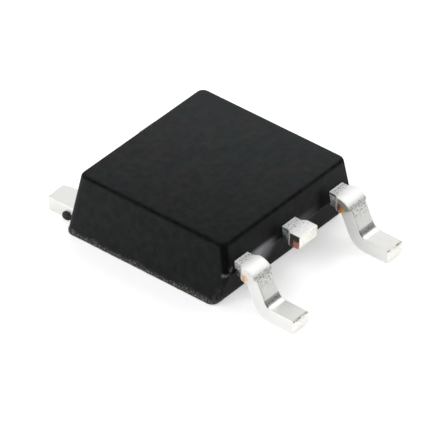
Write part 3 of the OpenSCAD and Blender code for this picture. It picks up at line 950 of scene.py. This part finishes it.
def smeared(tree, marks, colour, smear, tear, tones, shadow_line_share):
    """Resin smeared beside the neck, with a painted shadow line below its upper edge."""
    # Painted shadow: a dark line along the smear's upper part.
    line = times(tree, step(tree, marks["down"], 0.04, 0.08),
                 step(tree, marks["down"], 0.20, 0.14))
    line = times(tree, smear, line)
    level = times_plus(tree, marks["down"], -0.4, tear)
    tone = mixed(tree, step(tree, level, 0.24, 0.38), *(tint(t) for t in tones))
    colour = mixed(tree, smear, colour, tone)
    return mixed(tree, times(tree, line, shadow_line_share), colour, tint("#262624"))


def cut_off(tree, marks, colour, tear, cut_tone, torn_tones, torn_from):
    """The stub's sheared face, cut above and torn below, and the foot's end."""
    wander = times_plus(tree, tear, 0.7, -0.35)
    depth = node(tree, "Math", {0: marks["down"], 1: wander}, operation="ADD")
    torn = times(tree, marks["sheared"], step(tree, depth, torn_from - 0.06, torn_from + 0.06))
    reach = node(tree, "Math", {0: marks["stub"], 1: wander}, operation="ADD")
    tone = mixed(tree, step(tree, reach, 0.30, 0.50), *(tint(t) for t in torn_tones[:2]))
    tone = mixed(tree, step(tree, reach, 0.60, 0.80), tone, tint(torn_tones[2]))
    colour = mixed(tree, marks["sheared"], colour, tint(cut_tone))
    colour = mixed(tree, torn, colour, tone)
    end_tone = mixed(tree, step(tree, tear, 0.40, 0.60), tint("#f5f4ef"), tint("#e9e4dc"))
    return mixed(tree, marks["tip"], colour, end_tone)


# %% Tinned copper


def tinned_copper(name, smear_tones, shadow_line_share, cut_tone, torn_tones, torn_from):
    """Tin with the marks of one piece: the tones of the smear beside its neck
    and how dark the painted shadow line above it is, the tone of the cut part of
    its stubs, three tones of the torn part from the body outward, and the depth
    at which the torn part starts."""
    material, tree = empty_material(name)
    here = node(tree, "TexCoord").outputs["Object"]
    crystal, patch, tear, spot = (
        noise(tree, here, size, detail, 0.62)
        for size, detail in ((CRYSTAL_MM, 2.0), (PATCH_MM, 4.0), (TEAR_MM, 3.0), (SPOT_MM, 2.0)))
    marks = marks_on(tree, TIN_MARKS)
    on_top = step(tree, marks["down"], 0.06, 0.02)
    spots = times(tree, times(tree, marks["scuff"], on_top), step(tree, spot, 0.50, 0.62))
    # The band above the heel: smoother tin, and a painted dark reflection.
    band = times(tree, step(tree, marks["heel"], -0.09, -0.03),
                 step(tree, marks["heel"], 0.36, 0.26))
    band = times(tree, times(tree, band, on_top), step(tree, tear, 0.30, 0.55, 1.0, 0.7))
    smear = times(tree, marks["neck"], marks["on_side"])
    root = times(tree, marks["root"], on_top)

    colour = plated(tree, marks, patch, crystal, spots)
    colour = burnish_reflection_and_burr(tree, marks, colour, band, tear)
    colour = smeared(tree, marks, colour, smear, tear, smear_tones, shadow_line_share)
    colour = cut_off(tree, marks, colour, tear, cut_tone, torn_tones, torn_from)
    colour = mixed(tree, root, colour, tint("#ffffff"))
    rough = times_plus(tree, band, -0.12, step(tree, patch, 0.25, 0.75, 0.28, 0.40))

    # frost, the neck's root and the smear are less of a metal than the tin
    metallic = times_plus(tree, marks["frost"], -0.8, 1.0)
    metallic = times_plus(tree, root, -0.8, metallic)
    metallic = times_plus(tree, smear, -0.85, metallic, use_clamp=True)
    height = times_plus(tree, patch, 1.5, crystal)
    height = times_plus(tree, spots, -0.6, height)
    bump = node(tree, "Bump", {"Height": height, "Distance": 0.003 * MM, "Strength": 0.7})
    shader = node(tree, "BsdfPrincipled", {"Base Color": colour, "Roughness": rough,
                                           "Metallic": metallic, "Normal": bump})
    node(tree, "OutputMaterial", {"Surface": shader})
    return material


tin_left = tinned_copper("tinned_copper_left", ("#2a231c", "#c9c7c1"), 0.0, "#efece6",
                         ("#dfa98c", "#e8c2aa", "#eee9df"), 0.45)
tin_middle = tinned_copper("tinned_copper_middle", ("#39403d", "#9aa29d"), 0.6, "#3c3b30",
                           ("#4f2a30", "#c08379", "#c98566"), 0.48)
tin_right = tinned_copper("tinned_copper_right", ("#7c7f7b", "#d2d3d0"), 1.0, "#a29c94",
                          ("#74404f", "#cd8844", "#dcbf80"), 0.40)

# %% [markdown]
# ## Inside the body
# Nobody sees the chip, its solder or the wires unless the body is opened, but
# they get their own finishes. Silicon is a grey mirror under a film of
# aluminium, solder freezes in grains, and drawn wire has fine lines along it.

# %% Silicon, solder and wire


def metal_with_grain(name, dark, light, size_mm, roughness, metallic, stretch=(1, 1, 1)):
    """A metal whose grains differ a little in colour. stretch makes them
    long, for a drawn wire."""
    material, tree = empty_material(name)
    place = node(tree, "Mapping", {"Vector": node(tree, "TexCoord").outputs["Object"],
                                   "Scale": stretch})
    cells = node(tree, "TexVoronoi", {"Vector": place, "Scale": 1 / (size_mm * MM)})
    colour = mixed(tree, cells.outputs["Color"], tint(dark), tint(light))
    bump = node(tree, "Bump", {"Height": cells.outputs["Distance"], "Distance": 0.003 * MM,
                               "Strength": 0.5})
    shader = node(tree, "BsdfPrincipled", {"Base Color": colour, "Roughness": roughness,
                                           "Metallic": metallic, "Normal": bump})
    node(tree, "OutputMaterial", {"Surface": shader})
    return material


silicon = metal_with_grain("metallised_silicon", "#6c7078", "#8b9098", 0.12, 0.22, 1.0)
solder = metal_with_grain("soft_solder", "#8f8f8a", "#b6b5ae", 0.20, 0.45, 1.0)
wire = metal_with_grain("drawn_aluminium", "#b9babb", "#d6d7d8", 0.06, 0.30, 1.0, (1, 0.15, 0.4))

# %% Finishes go on, and the new skins stand for their solids
for piece, solid, slot, finish in (
        (moulded_body, "moulded_body", "moulding_compound", resin),
        (drain, "drain_leadframe", "tinned_copper", tin_middle),
        (gate_lead, "gate_lead", "tinned_copper", tin_left),
        (source_lead, "source_lead", "tinned_copper", tin_right)):
    piece.data.materials.clear()
    piece.data.materials.append(finish)
    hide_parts(solid)
for solid, finish in (("silicon_die", silicon), ("die_attach_solder", solder),
                      ("gate_bond_wire", wire), ("source_bond_wire_1", wire),
                      ("source_bond_wire_2", wire)):
    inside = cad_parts[solid]
    inside.data.materials.clear()
    inside.data.materials.append(finish)
